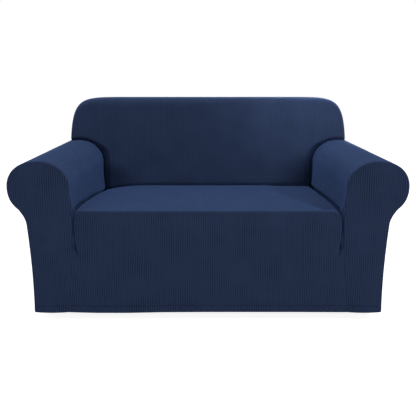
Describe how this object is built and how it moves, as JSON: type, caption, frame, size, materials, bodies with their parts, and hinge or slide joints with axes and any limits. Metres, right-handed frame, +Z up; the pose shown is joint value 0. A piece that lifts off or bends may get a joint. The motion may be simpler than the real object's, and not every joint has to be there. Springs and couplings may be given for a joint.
{
  "type": "sofa slipcover",
  "caption": "One-piece stretch slipcover for a two-seat sofa with rolled arms: a hollow navy ribbed-knit shell, open underneath, with a plain turned-up hem.",
  "frame": {"origin": "underside of the top of the back, at its middle, where the sofa's back carries the cover", "axes": "+X to the right seen from the front, +Y from the front of the arms to the back, +Z up"},
  "size_m": [1.5698, 0.8543, 0.849],
  "materials": {
    "ribbed_knit": "matt navy stretch knit with fine vertical ribs"
  },
  "bodies": {
    "root": {"front_apron": "ribbed_knit", "seat_deck": "ribbed_knit", "inside_back": "ribbed_knit", "outside_back": "ribbed_knit", "inside_arm_left": "ribbed_knit", "inside_arm_right": "ribbed_knit", "outside_arm_left": "ribbed_knit", "outside_arm_right": "ribbed_knit", "arm_front_left": "ribbed_knit", "arm_front_right": "ribbed_knit"}
  },
  "joints": []
}
